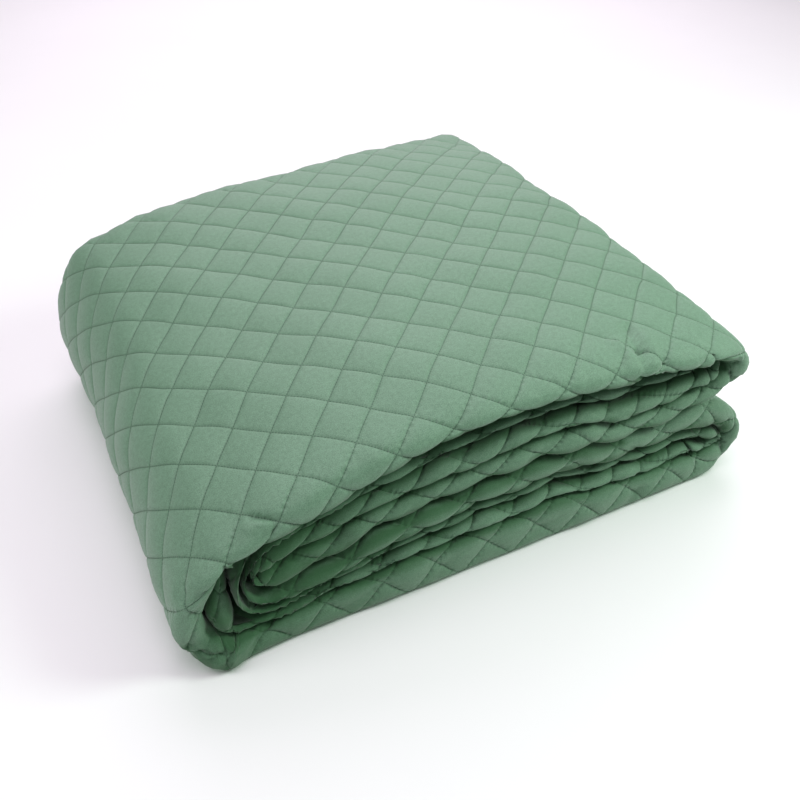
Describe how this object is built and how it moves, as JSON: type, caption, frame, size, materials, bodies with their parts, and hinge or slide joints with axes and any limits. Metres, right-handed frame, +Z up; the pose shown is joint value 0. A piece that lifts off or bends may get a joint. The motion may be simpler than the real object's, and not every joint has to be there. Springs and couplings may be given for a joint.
{
  "type": "folded quilted bedspread",
  "caption": "Quilted bedspread with a stitched diamond grid, folded into a soft domed stack that lies flat on its base.",
  "frame": {"origin": "middle of the underside, on the surface that the stack rests on", "axes": "+Z up; +X to the right along the front, where the ends of the layers show; +Y from the front to the back"},
  "size_m": [0.5534, 0.5352, 0.1899],
  "materials": {
    "fabric": "matt woven"
  },
  "bodies": {
    "root": {"bedspread": "fabric"}
  },
  "joints": []
}
